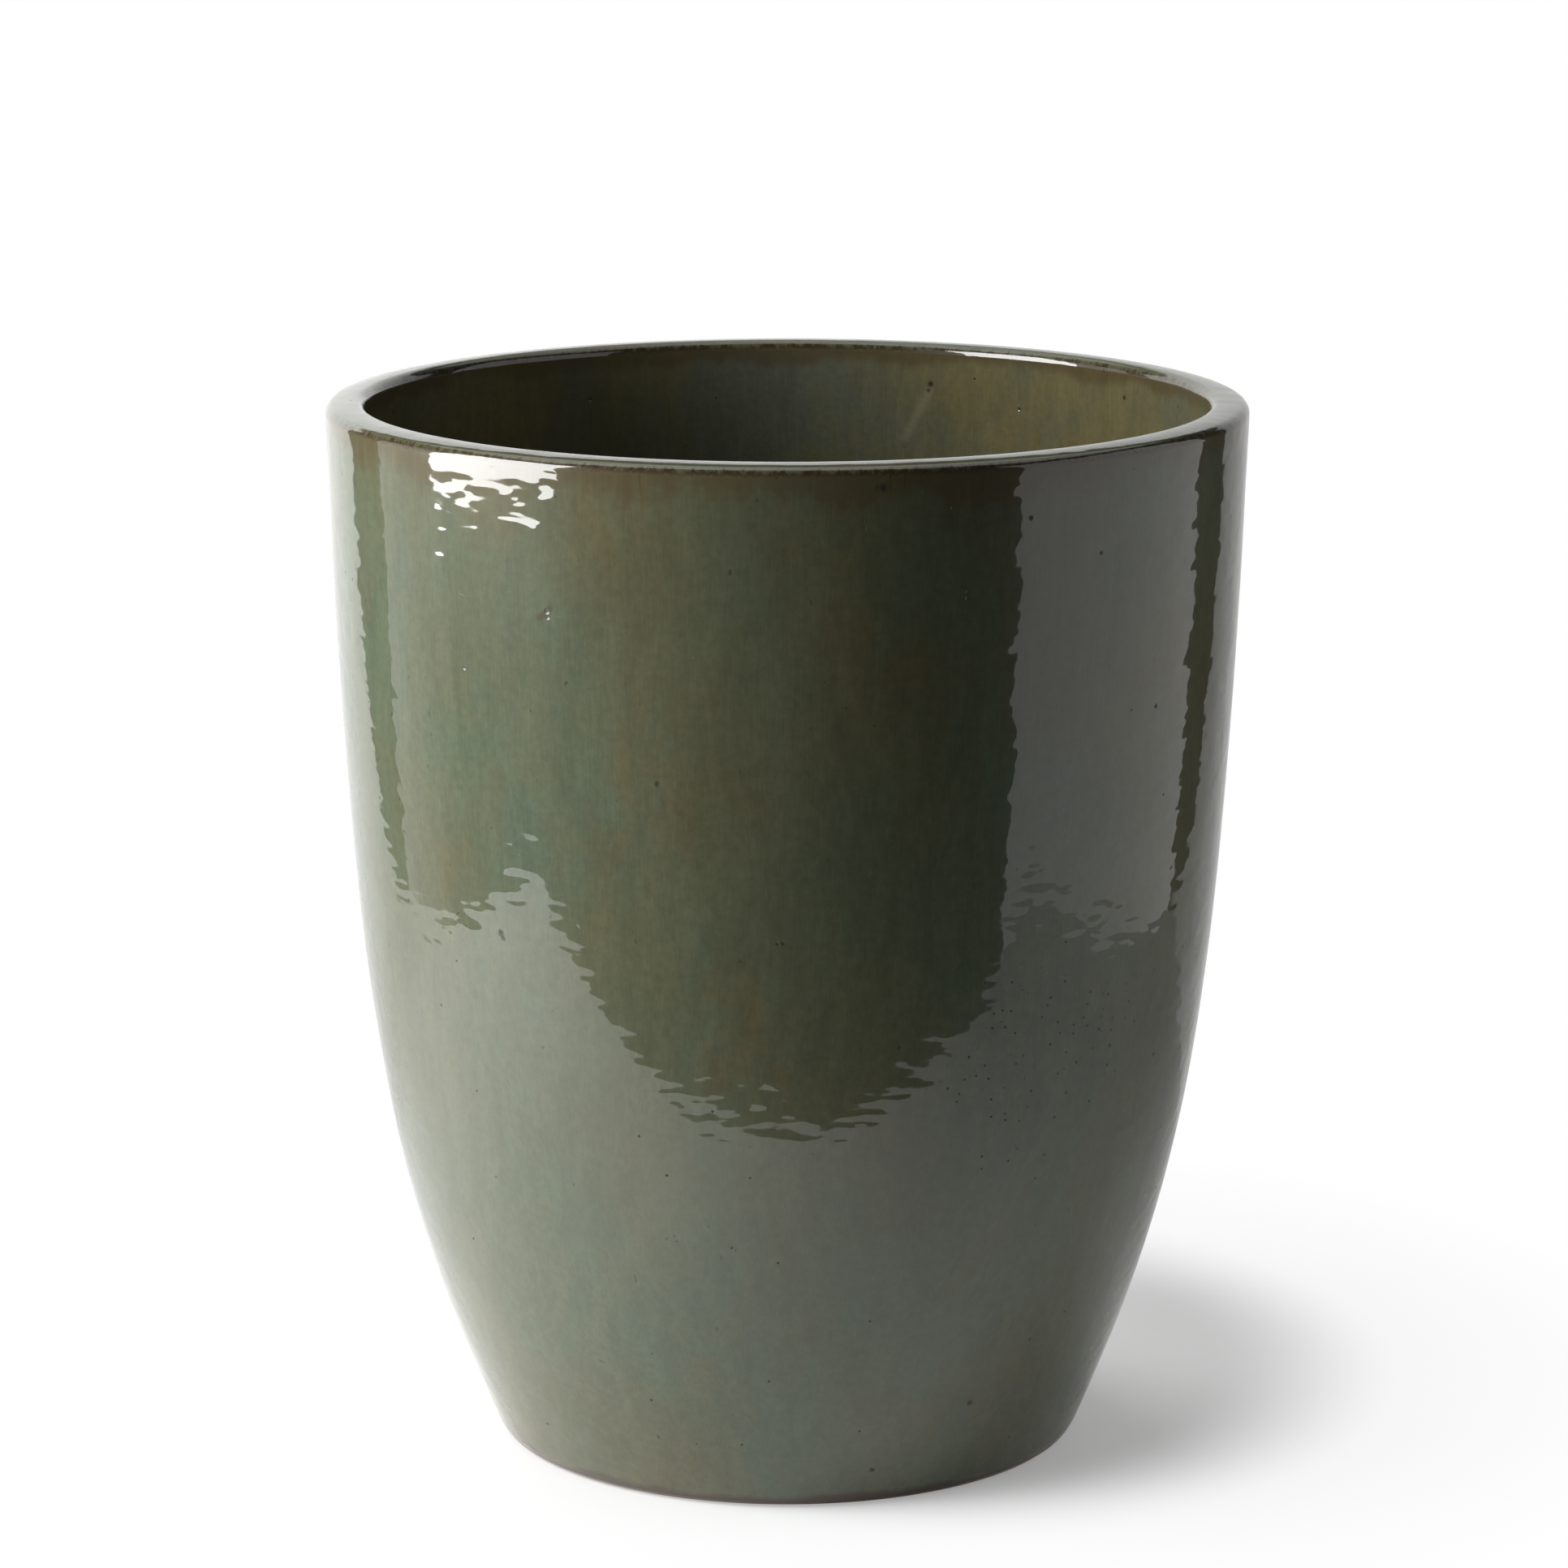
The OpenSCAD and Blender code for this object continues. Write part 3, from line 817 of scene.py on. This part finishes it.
streak = patch_share(tree, spot, [
    (on_inside(158.8 + 0.4 * i, 0.4395 - 0.0024 * i), 0.0034, 0.22) for i in range(10)])
tone = blend(tree, maths(tree, "MINIMUM", streak, 0.5), tone, (0.170, 0.150, 0.105, 1.0))
holes_and_shade = maths(tree, "MINIMUM", maths(tree, "ADD", holes_and_shade, craters), 1.0)
# Painted shade: the pinholes and craters are coloured near black for the shade inside them.
tone = blend(tree, times(tree, holes_and_shade, 0.8), tone, (0.008, 0.007, 0.005, 1.0))
tree.links.new(tone, shader.inputs["Base Color"])
gloss = fade(tree, noise(tree, spot, 60.0, 4.0, 0.7).outputs["Fac"], 0.35, 0.75, 0.03, 0.07)
tree.links.new(gloss, shader.inputs["Roughness"])
wavy = use_group(tree, ripple_group, {"Vector": spot, "Fine": 0.8, "Broad": 2.0}).outputs["Height"]
height = maths(tree, "SUBTRACT", wavy, times(tree, holes_and_shade, 0.8))
bump = add_node(tree, "ShaderNodeBump", {"Height": height, "Distance": 0.00013})
tree.links.new(bump.outputs["Normal"], shader.inputs["Normal"])
inner_coat.data.materials.append(inner_glaze)

# ---------------------------------------------------------------------------------------------
# Drain stopper: a black moulded rubber bung, pushed into the drain hole from inside. Its stem has
# soft ribs that grip the hole, its flange seals on the glaze, and its knob has a fluted grip.
stopper_low, stopper_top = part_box("drain_stopper")[0][2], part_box("drain_stopper")[1][2]
stopper_seat = stopper_low + 0.0201
stem_top_r, stem_taper, stem_end, stem_bevel = 0.0139, 0.0014, 0.0020, 0.0012
rib_count, rib_steps, rib_depth = 4, 8, 0.0007
flange_r, flange_round, flange_crown, flange_height = 0.025, 0.0010, 0.0015, 0.0040
crown_lean = math.pi / 2 - 0.1
neck_r, neck_fillet, neck_top = 0.0065, 0.0030, stopper_seat + 0.0098
knob_r, knob_round, knob_low = 0.011, 0.0045, stopper_seat + 0.0136
knob_fillet, knob_under_round = 0.0022, 0.0016
flute_count, flute_half_turn, flute_squeeze = 12, 6.3, 0.945


def stem_r(height):
    share = (stopper_seat - height) / (stopper_seat - stem_end)
    return stem_top_r - stem_taper * share


ribbed_stem = []
for i in range(rib_count * rib_steps + 1):
    height = stem_end + 0.0022 + (stopper_seat - stem_end - 0.0036) * i / (rib_count * rib_steps)
    groove = rib_depth * (0.5 - 0.5 * math.cos(2 * math.pi * i / rib_steps))
    ribbed_stem.append((stem_r(height) - groove, height))
stem_foot_r, stem_root_r = stem_r(stem_end), stem_r(stopper_seat)
seal_under = stopper_seat + 0.0002
flange_edge = (flange_r - flange_round, stopper_seat + flange_round)
flange_shoulder = (flange_r - flange_round,
                   stopper_seat + flange_height - flange_crown - flange_round)
neck_foot = (neck_r + neck_fillet, stopper_seat + flange_height - 0.0001)
stopper_outline = (
    [(0.0, stem_end + 0.0061), (0.0030, stem_end + 0.0060), (0.0075, stem_end + 0.0058)]
    + [(0.0092, stem_end + 0.0040), (0.0098, stem_end + 0.0004)]
    + arc((stem_foot_r - stem_bevel, stem_end + stem_bevel), stem_bevel, -math.pi / 2, 0.0, 5)
    + ribbed_stem
    + [(stem_root_r - 0.0004, stopper_seat - 0.0004), (stem_root_r + 0.0003, seal_under)]
    + between((stem_root_r + 0.0003, seal_under), (flange_r - 0.0040, seal_under), 4)
    + [(flange_r - 0.0034, stopper_seat)]
    + arc(flange_edge, flange_round, -math.pi / 2, 0.0, 4)
    + arc(flange_shoulder, flange_round, 0.0, crown_lean, 5)
    + between(around(flange_shoulder, flange_round, crown_lean), neck_foot, 8)
    + arc((neck_foot[0], neck_foot[1] + neck_fillet), neck_fillet, -math.pi / 2, -math.pi, 6)[1:]
    + [(neck_r, neck_top - 0.0003)]
    + arc((neck_r + knob_fillet, neck_top), knob_fillet, math.pi, math.pi / 2, 4)[1:]
    + arc((knob_r - knob_under_round, knob_low), knob_under_round, -math.pi / 2, 0.0, 4)
    + between((knob_r, knob_low), (knob_r, stopper_top - knob_round), 3)
    + arc((knob_r - knob_round, stopper_top - knob_round), knob_round, 0.0, math.pi / 2, 10)[1:]
    + [(0.0050, stopper_top - 0.0002), (0.0035, stopper_top - 0.0009)]
    + [(0.0018, stopper_top - 0.0013), (0.0, stopper_top - 0.0014)]
)
stopper = turn_on_wheel("rubber_stopper", stopper_outline, 144, ring=False)

# The flutes of the grip: strips of the knob's side are pulled in towards the axis.
for vert in stopper.data.vertices:
    turn = math.degrees(math.atan2(vert.co.y, vert.co.x)) % (360 / flute_count)
    in_flute = abs(turn - 180 / flute_count) < flute_half_turn
    on_side = math.hypot(vert.co.x, vert.co.y) > knob_r - 0.0022
    vert.select = in_flute and on_side and vert.co.z > knob_low - 0.0018
for edge in stopper.data.edges:
    edge.select = all(stopper.data.vertices[i].select for i in edge.vertices)
for face in stopper.data.polygons:
    face.select = all(stopper.data.vertices[i].select for i in face.vertices)
bpy.ops.object.mode_set(mode="EDIT")
bpy.ops.transform.resize(value=(flute_squeeze, flute_squeeze, 1.0), center_override=(0.0, 0.0, 0.0))
bpy.ops.mesh.select_all(action="DESELECT")
bpy.ops.object.mode_set(mode="OBJECT")
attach(stopper, "stopper")
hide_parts("drain_stopper")

black_rubber, tree, shader = new_material("black_rubber")
shader.inputs["IOR"].default_value = 1.52
shader.inputs["Specular IOR Level"].default_value = 0.4
spot = tree.nodes.new("ShaderNodeTexCoord").outputs["Object"]
dusty = noise(tree, spot, 120.0, 4.0, 0.65).outputs["Fac"]
skin = noise(tree, spot, 1600.0, 2.0, 0.6).outputs["Fac"]
tone = blend(tree, fade(tree, dusty, 0.35, 0.75, 0.0, 0.55),
             (0.012, 0.012, 0.012, 1.0), (0.040, 0.037, 0.032, 1.0))
tree.links.new(tone, shader.inputs["Base Color"])
tree.links.new(fade(tree, dusty, 0.3, 0.7, 0.48, 0.70), shader.inputs["Roughness"])
bump = add_node(tree, "ShaderNodeBump", {"Height": skin, "Distance": 0.00006})
tree.links.new(bump.outputs["Normal"], shader.inputs["Normal"])
stopper.data.materials.append(black_rubber)
